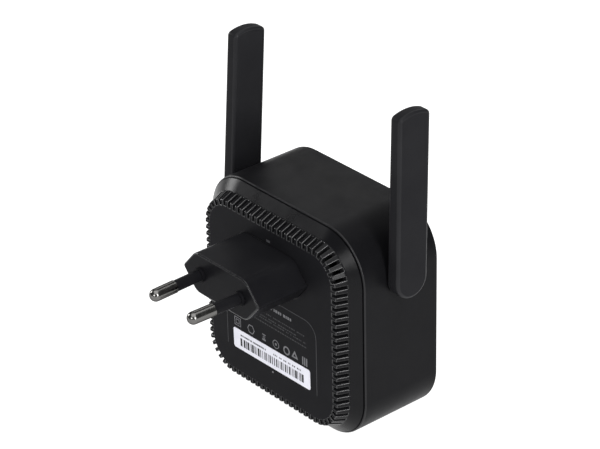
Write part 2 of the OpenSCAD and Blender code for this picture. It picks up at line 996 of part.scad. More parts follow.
module antenna_taper() {
    side_view = [
        [0, -antenna_w], [root_t, -antenna_w], [root_t, 0],
        [tip_t, antenna_len], [0, antenna_len]
    ];
    rotate([90, 0, 0])
        linear_extrude(antenna_w + over, center = true)
            polygon(side_view);
}

// Rod along the hinge axis, inward from the antenna's inner face
module barrel_rod(radius, from, to) {
    translate([-to, 0, 0])
        rotate([0, 90, 0])
            cylinder(r = radius, h = to - from);
}

module antenna_shell(side) {
    groove_far = washer_face + clip_groove_w;
    color(SHELL_COLOUR)
        at_hinge(side)
            difference() {
                union() {
                    intersection() {
                        antenna_slab(0, 0, root_t);
                        antenna_taper();
                    }
                    barrel_rod(barrel_d / 2, -cover_t, washer_face);
                    barrel_rod(clip_neck_r, washer_face - over / 2, groove_far + over / 2);
                    barrel_rod(barrel_d / 2, groove_far, barrel_len);
                }
                above(cover_start)
                    antenna_slab(cover_margin, -over, cover_t);
                above(cavity_start)
                    antenna_slab(cavity_margin, cover_t, tip_t - outer_skin);
                barrel_rod(cable_bore_d / 2, -lead_depth - lead_r - lead_play, barrel_len + over);
                translate([lead_depth - cable_bore_d / 2, -cable_bore_d / 2, 0])
                    cube([cable_bore_d / 2 + lead_r + lead_play, cable_bore_d, cavity_start + over]);
            }
}

module antenna_cover(side) {
    color(SHELL_COLOUR)
        at_hinge(side)
            above(cover_start + cover_seam)
                antenna_slab(cover_margin + cover_seam, 0, cover_t);
}

module antenna_element(side) {
    color("#b58b3c")
        at_hinge(side) {
            above(element_start)
                antenna_slab(element_margin, lead_depth - element_t / 2, lead_depth + element_t / 2);
            barrel_rod(lead_r, -lead_depth, barrel_len);
            translate([lead_depth, 0, 0])
                sphere(r = lead_r);
            translate([lead_depth, 0, 0])
                cylinder(r = lead_r, h = element_start + over);
        }
}

module hinge_clip(side) {
    color(METAL_COLOUR)
        at_hinge(side)
            difference() {
                barrel_rod(clip_r, washer_face + clip_play, washer_face + clip_groove_w - clip_play);
                barrel_rod(clip_neck_r, 0, barrel_len + over);
                translate([-barrel_len, -clip_mouth / 2, -clip_r - over])
                    cube([barrel_len, clip_mouth, clip_r + over]);
            }
}

module hinge_washer(side) {
    color("#3f3f42")
        at_hinge(side)
            difference() {
                barrel_rod(washer_r, boss_face, boss_face + washer_t);
                barrel_rod(barrel_d / 2 + barrel_gap, 0, barrel_len + over);
            }
}

// Cable from the hinge barrel, round two bends, down to its plug on the main board
module coax_lead(side) {
    lane_y = main_back_y + cable_lift;
    run_y = hinge_y - cable_bend_r;
    color("#8d9094")
        mirror([side < 0 ? 1 : 0, 0, 0])
            translate([0, 0, hinge_z]) {
                translate([cable_start - cable_straight, hinge_y, 0])
                    rotate([0, 90, 0])
                        cylinder(r = lead_r, h = cable_straight);
                translate([cable_start - cable_straight, run_y, 0])
                    rotate([0, 0, 90])
                        rotate_extrude(angle = 90)
                            translate([cable_bend_r, 0])
                                circle(lead_r);
                translate([cable_x, run_y, 0])
                    rotate([90, 0, 0])
                        cylinder(r = lead_r, h = run_y - lane_y - cable_bend_r);
                translate([cable_x, lane_y + cable_bend_r, -cable_bend_r])
                    rotate([90, 0, -90])
                        rotate_extrude(angle = 90)
                            translate([cable_bend_r, 0])
                                circle(lead_r);
                translate([cable_x, lane_y, -cable_bend_r - cable_drop])
                    cylinder(r = lead_r, h = cable_drop);
            }
}

module coax_plug(side) {
    color("#c9a24a")
        translate([side * cable_x, 0, hinge_z - cable_bend_r - cable_drop - coax_plug_r])
            rod(coax_plug_r, main_back_y + coax_plug_t, coax_plug_t);
}

front_housing();
rear_cover();
plug_body();
contact_pin(-1);  // pin_left
contact_pin(1);  // pin_right
pin_sleeve(-1);  // pin_sleeve_left
pin_sleeve(1);  // pin_sleeve_right
pin_socket(-1);  // pin_socket_left
pin_socket(1);  // pin_socket_right
serial_label();
power_board();
power_board_screws();
transformer_core();
transformer_bobbin();
transformer_winding();
input_capacitors();
output_capacitor();
filter_choke();
bridge_rectifier();
fuse_resistor();
safety_capacitor();
power_chip();
board_header();
main_board();
main_board_screws();
shield_can();
wifi_chip();
memory_chip();
clock_crystal();
thermal_pad();
heat_spreader();
insulating_sheet();
status_led();
light_pipe();
reset_switch();
reset_plunger();
antenna_shell(-1);  // antenna_shell_left
antenna_shell(1);  // antenna_shell_right
antenna_cover(-1);  // antenna_cover_left
antenna_cover(1);  // antenna_cover_right
antenna_element(-1);  // antenna_element_left
antenna_element(1);  // antenna_element_right
hinge_clip(-1);  // hinge_clip_left
hinge_clip(1);  // hinge_clip_right
hinge_washer(-1);  // hinge_washer_left
hinge_washer(1);  // hinge_washer_right
coax_lead(-1);  // coax_lead_left
coax_lead(1);  // coax_lead_right
coax_plug(-1);  // coax_plug_left
coax_plug(1);  // coax_plug_right
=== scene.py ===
import json
import math
import random

import bmesh
import bpy
from mathutils import Matrix, Vector


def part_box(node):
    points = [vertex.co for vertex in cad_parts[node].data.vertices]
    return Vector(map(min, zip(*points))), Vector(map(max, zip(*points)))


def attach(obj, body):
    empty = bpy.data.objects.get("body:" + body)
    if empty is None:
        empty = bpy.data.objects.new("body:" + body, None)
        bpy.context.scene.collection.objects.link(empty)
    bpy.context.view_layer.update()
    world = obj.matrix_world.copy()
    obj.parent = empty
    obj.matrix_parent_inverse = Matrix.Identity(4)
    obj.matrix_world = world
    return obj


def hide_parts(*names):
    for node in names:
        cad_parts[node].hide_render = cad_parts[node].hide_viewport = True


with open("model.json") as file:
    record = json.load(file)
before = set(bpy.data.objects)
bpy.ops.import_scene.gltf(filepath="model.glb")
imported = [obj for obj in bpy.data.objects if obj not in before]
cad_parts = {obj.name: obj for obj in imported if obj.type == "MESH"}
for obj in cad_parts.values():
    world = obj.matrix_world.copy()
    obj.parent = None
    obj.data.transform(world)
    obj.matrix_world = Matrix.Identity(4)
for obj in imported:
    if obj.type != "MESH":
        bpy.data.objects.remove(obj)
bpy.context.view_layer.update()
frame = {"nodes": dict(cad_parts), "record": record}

MM = 0.001

# ---- places taken from the frame ----

COVER_LOW, COVER_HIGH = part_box("rear_cover")
PANEL_Y = COVER_HIGH.y
BODY_Z = (COVER_LOW.z + COVER_HIGH.z) / 2
HOUSING_LOW, HOUSING_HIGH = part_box("front_housing")
PART_Y = HOUSING_HIGH.y
FLOOR_Z = HOUSING_LOW.z
LABEL_LOW, LABEL_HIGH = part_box("serial_label")
LABEL_Z = (LABEL_LOW.z + LABEL_HIGH.z) / 2
LABEL_TILT = math.radians(0.8)

# ---- sizes of the CAD pieces, for finding their edges ----

# Half the width of the square core that the body's rounded outlines run round
CORE = 19.4 * MM
# The housing's outer wall lies further out from the core than this
HOUSING_REACH = 15 * MM
# The cover in section, as distances out from the core and down from the panel:
# the panel's edge, the foot of the shoulder and the foot of the rim
PANEL_REACH = 10.7 * MM
SHOULDER_REACH, SHOULDER_DOWN = 12.2 * MM, 3.8 * MM
RIM_REACH, RIM_DOWN = 15.2 * MM, 6.4 * MM
# The slots start within this distance of the panel's edge
SLOT_ZONE = 2 * MM
# Distance of a pin from the middle of the plug's face, and the radius round it that holds its collar
PIN_PLACE = 9.3 * MM
PIN_ZONE = 3 * MM
# An antenna's paddle, from its hinge
PADDLE_HALF_WIDTH = 5.9 * MM
PADDLE_LENGTH = 54.2 * MM
PADDLE_CROWN_R = 14 * MM
# The paddles' shells lie outside the first of these planes, and the inner covers' plates inside the second
PADDLE_X = 35.5 * MM
PLATE_X = 35.62 * MM
# A point this close to a face counts as on it, and on a curved or sloping skin this close
ON_FACE = 0.01 * MM
ON_SKIN = 0.25 * MM
ON_PADDLE = 0.5 * MM

# ---- rounded edges ----

HOUSING_EDGE_R = 0.4 * MM
COVER_EDGE_R = 0.2 * MM
PLUG_EDGE_R = 0.5 * MM
PADDLE_EDGE_R = 0.9 * MM
PLATE_EDGE_R = 0.12 * MM
# Corners closer than this are one, and faces that differ by less than this angle are one
WELD = 0.001 * MM
SAME_FACE = math.radians(0.4)
# Edges sharper than this are rounded, and edges left sharper than this are shaded as sharp
ROUND_ABOVE = math.radians(28)
SHARP_ABOVE = math.radians(32)

# ---- prints on the rear panel, in millimetres ----

# The raised dash above the plug, its rise measured from the body's centre
MARK_HALF_WIDTH = 0.8
MARK_HEIGHT = 0.7
MARK_RISE = 24.4
# The frame line round the print: half its width, its top, its open foot and the radius of its corners
FRAME_X = 21.0
FRAME_TOP = 4.35
FRAME_FOOT = -20.0
FRAME_R = 5.0
FRAME_LINE = 0.3
# Rows of small print as (up, start, end)
SMALL_PRINT = (
    (-1.5, 2, -16.4),
    (-2.9, 10, -12),
    (-3.8, 14, -16.4),
    (-5.2, 16.4, -16.6),
    (-6.1, 16.4, 11),
)
# Height of the row of signs
SIGN_UP = -10.4


# ---- shader helpers ----

def new_material(name):
    """A material with its Principled shader and a fresh node tree."""
    material = bpy.data.materials.new(name)
    material.use_nodes = True
    tree = material.node_tree
    return material, tree, tree.nodes["Principled BSDF"]


def add_node(tree, kind, **settings):
    """Adds a node, with its attributes and inputs set by name."""
    node = tree.nodes.new(kind)
    for key, value in settings.items():
        if key in node.inputs:
            node.inputs[key].default_value = value
        else:
            setattr(node, key, value)
    return node


def object_point(tree, stretch=(1, 1, 1)):
    """The point on the object, stretched along its axes."""
    coordinates = add_node(tree, "ShaderNodeTexCoord")
    mapping = add_node(tree, "ShaderNodeMapping")
    mapping.inputs["Scale"].default_value = stretch
    tree.links.new(coordinates.outputs["Object"], mapping.inputs["Vector"])
    return mapping.outputs["Vector"]


def noise(tree, scale, detail=3.0, roughness=0.55, stretch=(1, 1, 1)):
    """Noise with its scale in features per metre."""
    texture = add_node(tree, "ShaderNodeTexNoise", Scale=scale, Detail=detail, Roughness=roughness)
    tree.links.new(object_point(tree, stretch), texture.inputs["Vector"])
    return texture.outputs["Fac"]


def cells(tree, scale):
    """Distance to the middle of the nearest cell, for a moulded grain."""
    texture = add_node(tree, "ShaderNodeTexVoronoi", Scale=scale)
    tree.links.new(object_point(tree), texture.inputs["Vector"])
    return texture.outputs["Distance"]


def waves(tree, scale, direction, distortion=0.0):
    """Even lines across one axis, their scale in lines per metre."""
    texture = add_node(tree, "ShaderNodeTexWave", Scale=scale, Distortion=distortion,
                       bands_direction=direction)
    tree.links.new(object_point(tree), texture.inputs["Vector"])
    return texture.outputs["Fac"]


def ranged(tree, source, low, high, start=0.35, end=0.65):
    """Maps a noise value from its usual spread to a range."""
    node = add_node(tree, "ShaderNodeMapRange")
    node.inputs["From Min"].default_value = start
    node.inputs["From Max"].default_value = end
    node.inputs["To Min"].default_value = low
    node.inputs["To Max"].default_value = high
    tree.links.new(source, node.inputs["Value"])
    return node.outputs["Result"]


def mixed(tree, factor, first, second):
    """Mixes two colours by a factor."""
    node = add_node(tree, "ShaderNodeMix", data_type="RGBA")
    tree.links.new(factor, node.inputs["Factor"])
    node.inputs[6].default_value = (*first, 1)
    node.inputs[7].default_value = (*second, 1)
    return node.outputs[2]


def bumped(tree, shader, layers):
    """Stacks bump layers, each a height source with a depth in metres."""
    normal = None
    for source, depth in layers:
        bump = add_node(tree, "ShaderNodeBump", Strength=1.0, Distance=depth)
        tree.links.new(source, bump.inputs["Height"])
        if normal is not None:
            tree.links.new(normal, bump.inputs["Normal"])
        normal = bump.outputs["Normal"]
    tree.links.new(normal, shader.inputs["Normal"])


# ---- materials ----

def moulded_plastic(name, dark, light, roughness, grain, depth, specular):
    """Injection-moulded plastic: spark-eroded grain, faint clouds in tone and gloss."""
    material, tree, shader = new_material(name)
    tone = ranged(tree, noise(tree, 70), 0, 1)
    tree.links.new(mixed(tree, tone, dark, light), shader.inputs["Base Color"])
    tree.links.new(ranged(tree, noise(tree, 130, detail=5.0), *roughness), shader.inputs["Roughness"])
    shader.inputs["Specular IOR Level"].default_value = specular
    bumped(tree, shader, [(noise(tree, grain, detail=2.0), depth), (cells(tree, grain * 0.6), depth * 0.5)])
    return material


def bare_metal(name, colour, roughness, marks_per_m=900, depth=0.004 * MM, stretch=(1, 1, 1),
               edge_tint=(1, 1, 1)):
    """Plated, rolled or drawn metal with fine marks."""
    material, tree, shader = new_material(name)
    marks = noise(tree, marks_per_m, detail=4.0, stretch=stretch)
    light = tuple(min(1.0, c * 1.1) for c in colour)
    tree.links.new(mixed(tree, ranged(tree, marks, 0, 1), colour, light), shader.inputs["Base Color"])
    tree.links.new(ranged(tree, noise(tree, 350, detail=5.0), *roughness), shader.inputs["Roughness"])
    shader.inputs["Metallic"].default_value = 1.0
    shader.inputs["Specular Tint"].default_value = (*edge_tint, 1)
    bumped(tree, shader, [(marks, depth)])
    return material


def label_paper(name):
    """Coated label stock: faint fibres and clouds."""
    material, tree, shader = new_material(name)
    fibres = noise(tree, 2600, detail=4.0, stretch=(1, 1, 3))
    tone = ranged(tree, noise(tree, 240, detail=4.0), 0, 1)
    tree.links.new(mixed(tree, tone, (0.58, 0.58, 0.64), (0.64, 0.64, 0.7)), shader.inputs["Base Color"])
    tree.links.new(ranged(tree, fibres, 0.5, 0.62), shader.inputs["Roughness"])
    bumped(tree, shader, [(fibres, 0.006 * MM)])
    return material


def printed_ink(name, thin, full):
    """Ink that covers unevenly at the scale of the grain below it."""
    material, tree, shader = new_material(name)
    cover = ranged(tree, noise(tree, 3800, detail=3.0), 0, 1, 0.3, 0.6)
    tree.links.new(mixed(tree, cover, thin, full), shader.inputs["Base Color"])
    tree.links.new(ranged(tree, noise(tree, 900), 0.5, 0.65), shader.inputs["Roughness"])
    shader.inputs["Specular IOR Level"].default_value = 0.1
    bumped(tree, shader, [(noise(tree, 5200), 0.006 * MM)])
    return material


def circuit_board(name):
    """Solder mask over a woven core, with faint tracks under it."""
    material, tree, shader = new_material(name)
    tracks = ranged(tree, waves(tree, 160, "X", distortion=2.0), 0, 1, 0.6, 0.7)
    # A green solder mask, darkened to near black as painted shade for the inside of the housing seen
    # through the slots
    mask = mixed(tree, tracks, (0.003, 0.014, 0.008), (0.005, 0.022, 0.012))
    tree.links.new(mask, shader.inputs["Base Color"])
    tree.links.new(ranged(tree, noise(tree, 300), 0.28, 0.4), shader.inputs["Roughness"])
    weave = [(waves(tree, 1400, "X"), 0.01 * MM), (waves(tree, 1400, "Z"), 0.01 * MM)]
    bumped(tree, shader, weave)
    return material


def wound_copper(name):
    """Enamelled wire, wound in even turns along the coil's length."""
    material, tree, shader = new_material(name)
    turns = waves(tree, 900, "Y")
    # The colour runs dark to light across each turn: painted shade in the creases between the turns, on top
    # of the turns' real bump
    tree.links.new(mixed(tree, turns, (0.22, 0.07, 0.025), (0.62, 0.27, 0.1)), shader.inputs["Base Color"])
    tree.links.new(ranged(tree, noise(tree, 700), 0.25, 0.4), shader.inputs["Roughness"])
    shader.inputs["Metallic"].default_value = 0.8
    bumped(tree, shader, [(turns, 0.08 * MM)])
    return material


def frosted_clear(name):
    """Clear moulded plastic with a finely frosted skin."""
    material, tree, shader = new_material(name)
    frost = noise(tree, 3000, detail=3.0)
    tone = ranged(tree, noise(tree, 400), 0, 1)
    tree.links.new(mixed(tree, tone, (0.75, 0.8, 0.84), (0.86, 0.9, 0.93)), shader.inputs["Base Color"])
    tree.links.new(ranged(tree, frost, 0.3, 0.45), shader.inputs["Roughness"])
    shader.inputs["Transmission Weight"].default_value = 0.7
    shader.inputs["IOR"].default_value = 1.49
    bumped(tree, shader, [(frost, 0.01 * MM)])
    return material


def plastic_row(dark, light, roughness, grain=4200, depth=0.008 * MM, specular=0.35):
    """A row of settings for moulded_plastic, with those of a plain plastic left out."""
    return (dark, light, roughness, grain, depth, specular)


PLASTICS = {
    "shell_black": plastic_row((0.004, 0.004, 0.0047), (0.0052, 0.0052, 0.006), (0.36, 0.44), 5200,
                               0.014 * MM, 0.055),
    "rim_black": plastic_row((0.0026, 0.0026, 0.0032), (0.0036, 0.0036, 0.0043), (0.26, 0.33), 6500,
                             0.003 * MM, 0.12),
    "plug_black": plastic_row((0.006, 0.006, 0.007), (0.0075, 0.0075, 0.0085), (0.28, 0.36), 6500,
                              0.005 * MM, 0.028),
    "ferrite": plastic_row((0.03, 0.03, 0.033), (0.06, 0.06, 0.065), (0.6, 0.8), 2600, 0.03 * MM),
    "bobbin": plastic_row((0.03, 0.05, 0.08), (0.04, 0.07, 0.11), (0.4, 0.5)),
    "capacitor_sleeve": plastic_row((0.014, 0.018, 0.04), (0.02, 0.026, 0.055), (0.2, 0.3)),
    "chip_black": plastic_row((0.014, 0.014, 0.015), (0.024, 0.024, 0.026), (0.5, 0.65), 5200, 0.012 * MM),
    "resistor_body": plastic_row((0.15, 0.22, 0.13), (0.22, 0.3, 0.18), (0.35, 0.5)),
    "disc_blue": plastic_row((0.02, 0.12, 0.32), (0.03, 0.17, 0.42), (0.25, 0.4), 1500, 0.02 * MM),
    "thermal_pad": plastic_row((0.18, 0.26, 0.36), (0.24, 0.33, 0.45), (0.7, 0.85), 1800, 0.03 * MM),
    "sheet_film": plastic_row((0.55, 0.52, 0.42), (0.65, 0.62, 0.5), (0.3, 0.4), 2200),
    "led_white": plastic_row((0.7, 0.72, 0.62), (0.82, 0.84, 0.74), (0.3, 0.4)),
    "plunger_white": plastic_row((0.68, 0.68, 0.65), (0.76, 0.76, 0.73), (0.4, 0.5)),
    "element_laminate": plastic_row((0.3, 0.2, 0.06), (0.45, 0.31, 0.1), (0.3, 0.4), 1400, 0.01 * MM),
    "washer_rubber": plastic_row((0.02, 0.02, 0.021), (0.03, 0.03, 0.032), (0.7, 0.8), 3000, 0.02 * MM),
    "coax_grey": plastic_row((0.18, 0.19, 0.2), (0.25, 0.26, 0.27), (0.4, 0.5)),
}

METALS = {
    "pin_nickel": bare_metal("pin_nickel", (0.13, 0.128, 0.124), (0.16, 0.24), 1500,
                             0.003 * MM, (1, 0.2, 1), (0.25, 0.25, 0.25)),
    "spring_brass": bare_metal("spring_brass", (0.7, 0.52, 0.25), (0.25, 0.38)),
    "steel": bare_metal("steel", (0.5, 0.51, 0.52), (0.25, 0.4)),
    "spreader_aluminium": bare_metal("spreader_aluminium", (0.6, 0.61, 0.62), (0.35, 0.5), 1200,
                                     0.006 * MM, (0.1, 1, 1)),
}

MATERIALS = {
    **{slot: moulded_plastic(slot, *row) for slot, row in PLASTICS.items()},
    **METALS,
    "label_white": label_paper("label_white"),
    "board_green": circuit_board("board_green"),
    "copper": wound_copper("copper"),
    "light_clear": frosted_clear("light_clear"),
}
BAR_INK = printed_ink("bar_ink", (0.05, 0.05, 0.055), (0.02, 0.02, 0.022))
PANEL_INK = printed_ink("panel_ink", (0.09, 0.09, 0.095), (0.16, 0.16, 0.17))
FAINT_INK = printed_ink("faint_ink", (0.02, 0.02, 0.022), (0.04, 0.04, 0.043))
MARK_LOOK = printed_ink("mark_black", (0.03, 0.03, 0.033), (0.05, 0.05, 0.054))

# The antennas are moulded in a slightly paler plastic, the flat panel has a duller skin than its rim,
# and the walls inside the slots keep the dull skin of the mould's core
ANTENNA_LOOK = moulded_plastic("antenna_black", (0.0102, 0.0102, 0.0115), (0.0122, 0.0122, 0.0136),
                               (0.4, 0.48), 5200, 0.014 * MM, 0.025)
# The antennas' rounded edges are paler than their faces: a painted highlight along each edge
ANTENNA_EDGE_HIGHLIGHT = moulded_plastic("antenna_edge_highlight", (0.0102, 0.0102, 0.0115), (0.0132, 0.0132, 0.0148),
                               (0.3, 0.4), 5200, 0.006 * MM, 0.1)
PANEL_LOOK = moulded_plastic("panel_black", (0.0076, 0.0076, 0.0087), (0.0092, 0.0092, 0.0104),
                             (0.34, 0.42), 6500, 0.006 * MM, 0.018)
SLOT_LOOK = moulded_plastic("slot_black", (0.007, 0.007, 0.008), (0.011, 0.011, 0.012),
                            (0.5, 0.6), 6500, 0.01 * MM, 0.1)

# Moulded edges, smoother than the faces and a little paler: the paler colour is a painted highlight along
# each rounded edge
EDGES = {
    "shell_black": moulded_plastic("shell_edge_highlight", (0.005, 0.005, 0.006), (0.007, 0.007, 0.008), (0.28, 0.38),
                                   5200, 0.006 * MM, 0.25),
    "rim_black": moulded_plastic("rim_edge_highlight", (0.008, 0.008, 0.009), (0.012, 0.012, 0.0132), (0.2, 0.3),
                                 6500, 0.004 * MM, 0.5),
    "plug_black": moulded_plastic("plug_edge_highlight", (0.006, 0.006, 0.007), (0.008, 0.008, 0.009), (0.22, 0.32),
                                  6500, 0.004 * MM, 0.22),
}


def dress_cad_nodes():
    """Gives every CAD node the material of its slot."""
    for part in frame["record"]["subparts"]:
        node = frame["nodes"][part["node"]]
        node.data.materials.clear()
        node.data.materials.append(MATERIALS[part["material_slot"]])


# ---- skins: CAD pieces with their moulded edges rounded ----

def rounded_skin(node_name, body, slot, radius, on_edge, segments=4, look=None, edge_highlight_look=None,
                 clamp=True):
    """Copies a CAD node, rounds the sharp edges whose ends pass a test, and stands in for the node.

    A clamped bevel shrinks to suit the shortest edge, so a fine mesh takes an unclamped one.
    """
    mesh = bmesh.new()
    mesh.from_mesh(frame["nodes"][node_name].data)
    bmesh.ops.remove_doubles(mesh, verts=mesh.verts, dist=WELD)
    bmesh.ops.dissolve_limit(mesh, angle_limit=SAME_FACE, verts=mesh.verts, edges=mesh.edges)
    chosen = [edge for edge in mesh.edges
              if len(edge.link_faces) == 2 and edge.calc_face_angle() > ROUND_ABOVE
              and all(on_edge(vert.co) for vert in edge.verts)]
    bmesh.ops.bevel(mesh, geom=chosen, offset=radius, offset_type="OFFSET", segments=segments,
                    profile=0.5, affect="EDGES", clamp_overlap=clamp, material=1)
    data = bpy.data.meshes.new(node_name + "_skin")
    mesh.to_mesh(data)
    mesh.free()
    data.materials.append(look or MATERIALS[slot])
    # The rounded edges take the edge look, whose paler colour is a painted highlight along them
    data.materials.append(edge_highlight_look or EDGES[slot])
    data.shade_smooth()
    data.set_sharp_from_angle(angle=SHARP_ABOVE)
    skin = bpy.data.objects.new(node_name + "_skin", data)
    bpy.context.scene.collection.objects.link(skin)
    weighted = skin.modifiers.new("weighted_normals", "WEIGHTED_NORMAL")
    weighted.keep_sharp = True
    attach(skin, body)
    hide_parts(node_name)
    return skin


def reach(point):
    """How far a point lies out from the body's square core, seen from behind."""
    across = max(abs(point.x) - CORE, 0)
    up = max(abs(point.z - BODY_Z) - CORE, 0)
    return math.hypot(across, up)


def on_housing_rim(point):
    """On the outer edge of the housing's open end."""
    return point.y > PART_Y - ON_FACE and reach(point) > HOUSING_REACH


def on_cover_face(point):
    """On the cover's outer skin, above its foot: the flat panel, its steep shoulder or the slope below."""
    down = PANEL_Y - point.y
    if down < ON_FACE:
        return True
    if down > RIM_DOWN - ON_FACE:
        return False
    if down < SHOULDER_DOWN:
        surface = PANEL_REACH + (SHOULDER_REACH - PANEL_REACH) * down / SHOULDER_DOWN
    else:
        share = (down - SHOULDER_DOWN) / (RIM_DOWN - SHOULDER_DOWN)
        surface = SHOULDER_REACH + (RIM_REACH - SHOULDER_REACH) * share
    return reach(point) > surface - ON_SKIN


def in_slot(point):
    """On a wall inside the cover's slots."""
    below_panel = PANEL_Y - RIM_DOWN < point.y
    return below_panel and reach(point) > PANEL_REACH - SLOT_ZONE and not on_cover_face(point)


def on_plug_face(point):
    """On the outline of the plug's face, and clear of the pins' collars."""
    from_pin = math.hypot(abs(point.x) - PIN_PLACE, point.z)
    return point.y > -ON_FACE and from_pin > PIN_ZONE


def paddle_test(side):
    """A test for the outline edges of one antenna's paddle, in its own upright frame."""
    joints = frame["record"]["behaviour"]["joints"]
    joint = next(row for row in joints if row["name"] == f"antenna_{side}_hinge")
    hinge = Vector(joint["pos_m"])
    upright = Matrix.Rotation(math.radians(joint["range_deg"][0]), 3, "X")
    half_width = PADDLE_HALF_WIDTH - ON_PADDLE
    crown_z = PADDLE_LENGTH - PADDLE_CROWN_R

    def on_outline(point):
        local = upright @ (point - hinge)
        root = local.z > 0 or math.hypot(local.y, local.z) < half_width
        tip = local.z < crown_z or math.hypot(local.y, local.z - crown_z) < PADDLE_CROWN_R - ON_PADDLE
        inside = abs(local.y) < half_width and root and tip
        return not inside and abs(point.x) > PADDLE_X
    return on_outline


def on_plate(point):
    """On the inner face of an antenna's inner cover."""
    return abs(point.x) < PLATE_X


def make_skins():
    """Stands rounded skins in for the pieces that show."""
    rounded_skin("front_housing", "body", "shell_black", HOUSING_EDGE_R, on_housing_rim)
    cover = rounded_skin("rear_cover", "body", "rim_black", COVER_EDGE_R, on_cover_face, segments=3,
                         clamp=False)
    cover.data.materials.append(PANEL_LOOK)
    cover.data.materials.append(SLOT_LOOK)
    panel_index, slot_index = 2, 3
    for face in cover.data.polygons:
        if face.center.y > PANEL_Y - ON_FACE and face.normal.y > 0.99:
            face.material_index = panel_index
        elif face.material_index == 0 and in_slot(face.center):
            face.material_index = slot_index
    rounded_skin("plug_body", "body", "plug_black", PLUG_EDGE_R, on_plug_face)
    for side in ("left", "right"):
        body = "antenna_" + side
        rounded_skin("antenna_shell_" + side, body, "shell_black", PADDLE_EDGE_R, paddle_test(side),
                     look=ANTENNA_LOOK, edge_highlight_look=ANTENNA_EDGE_HIGHLIGHT)
        rounded_skin("antenna_cover_" + side, body, "shell_black", PLATE_EDGE_R, on_plate, segments=2,
                     look=ANTENNA_LOOK, edge_highlight_look=ANTENNA_EDGE_HIGHLIGHT)


# ---- print and moulded marks, laid out as [across, up] in millimetres ----

def add_ribbon(mesh, points, width, low, high, closed=False):
    """Adds a flat ribbon of even width along a line of [across, up] points, between two heights."""
    count = len(points)
    rings = []
    for i, point in enumerate(points):
        before = points[i - 1] if i or closed else point
        after = points[(i + 1) % count] if i < count - 1 or closed else point
        steps = [step.normalized() for step in (point - before, after - point) if step.length > 0]
        middle = sum(steps, Vector((0, 0))).normalized()
        side = Vector((-middle.y, middle.x)) * (width / 2 / max(0.3, middle.dot(steps[0])))
        corners = [(point + side, low), (point + side, high), (point - side, high), (point - side, low)]
        rings.append([mesh.verts.new((at.x, height, at.y)) for at, height in corners])
    for i in range(count if closed else count - 1):
        here, there = rings[i], rings[(i + 1) % count]
        for k in range(4):
            mesh.faces.new((here[k], here[(k + 1) % 4], there[(k + 1) % 4], there[k]))
    if not closed:
        mesh.faces.new(rings[0])
        mesh.faces.new(rings[-1])


def flat_piece(name, ribbons, low, high, place, material, tilt=0.0):
    """Makes one piece of ribbons (points, width, closed), standing between two heights on the panel."""
    mesh = bmesh.new()
    for points, width, closed in ribbons:
        add_ribbon(mesh, [Vector(point) * MM for point in points], width * MM, low, high, closed)
    bmesh.ops.recalc_face_normals(mesh, faces=mesh.faces)
    mesh.transform(Matrix.Translation((0, PANEL_Y, place)) @ Matrix.Rotation(tilt, 4, "Y"))
    data = bpy.data.meshes.new(name)
    mesh.to_mesh(data)
    mesh.free()
    data.materials.append(material)
    piece = bpy.data.objects.new(name, data)
    bpy.context.scene.collection.objects.link(piece)
    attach(piece, "body")
    return piece


def arc(centre, radius, start, end, steps=10):
    """Points along an arc, from one angle to another in degrees."""
    angles = [math.radians(start + (end - start) * i / steps) for i in range(steps + 1)]
    return [(centre[0] + radius * math.cos(a), centre[1] + radius * math.sin(a)) for a in angles]


def ring(centre, radius, width, sides=24, turn=0.0):
    """A closed ribbon round a centre, with many sides for a circle."""
    return (arc(centre, radius, turn, turn + 360 * (1 - 1 / sides), sides - 1), width, True)


def bar(left, right, up, height):
    """A level ribbon from one place across to another."""
    return ([(left, up), (right, up)], height, False)


def dashes(start, end, up, height, widths, gap, draw):
    """A row of short plain dashes that stands for a line of small print, with a wide gap here and there."""
    wide_gap_share = 0.16
    row = []
    at = start
    while at > end:
        width = draw.choice(widths)
        row.append(bar(at, max(end, at - width), up, height))
        at -= width + gap * (3 if draw.random() < wide_gap_share else 1)
    return row


def small_signs():
    """A row of plain signs: squares, a hexagon, bars, rings, a triangle and three strokes."""
    half = 1.4
    square = [(half, half), (-half, half), (-half, -half), (half, -half)]
    signs = []
    for scale in (1, 0.5):
        signs.append(([(16 + x * scale, SIGN_UP + z * scale) for x, z in square], 0.22, True))
    signs.append(ring((9.6, SIGN_UP), 1.55, 0.28, sides=6))
    signs.append(bar(4.2, 2.6, SIGN_UP + 0.9, 0.3))
    signs.append(bar(4.2, 2.6, SIGN_UP - 0.9, 0.55))
    signs.append(ring((3.4, SIGN_UP), 0.4, 0.2))
    signs.append(ring((-2.2, SIGN_UP), 1.35, 0.24))
    signs.append(ring((-2.2, SIGN_UP), 0.3, 0.3))
    signs.append(ring((-7.2, SIGN_UP), 1.25, 0.5))
    signs.append(ring((-11.0, SIGN_UP), 1.25, 0.5, sides=3, turn=90))
    for shift in (-0.9, 0, 0.9):
        across = -15.6 + shift
        signs.append(([(across, SIGN_UP + half), (across, SIGN_UP - half)], 0.5, False))
    return signs


def print_panel():
    """The grey print on the rear panel: a frame line, rows of small print and plain signs."""
    draw = random.Random(4)
    low, high = -0.01 * MM, 0.02 * MM
    line = [(FRAME_X, FRAME_FOOT)]
    line += arc((FRAME_X - FRAME_R, FRAME_TOP - FRAME_R), FRAME_R, 0, 90)
    line += arc((FRAME_R - FRAME_X, FRAME_TOP - FRAME_R), FRAME_R, 90, 180)
    line += [(-FRAME_X, FRAME_FOOT)]
    faint = [(line, FRAME_LINE, False)]
    for up, start, end in SMALL_PRINT:
        faint += dashes(start, end, up, 0.4, (0.4, 0.6, 0.9), 0.3, draw)
    flat_piece("panel_frame", faint, low, high, BODY_Z, FAINT_INK)
    title = dashes(10, -10, 1.4, 0.95, (0.5, 0.7, 0.9), 0.3, draw)
    dots = [ring((-0.4, -21.1), 0.2, 0.3), ring((-4.2, 4.3), 0.2, 0.3)]
    print_lines = title + small_signs() + dots
    flat_piece("panel_print", print_lines, low, high, BODY_Z, PANEL_INK)


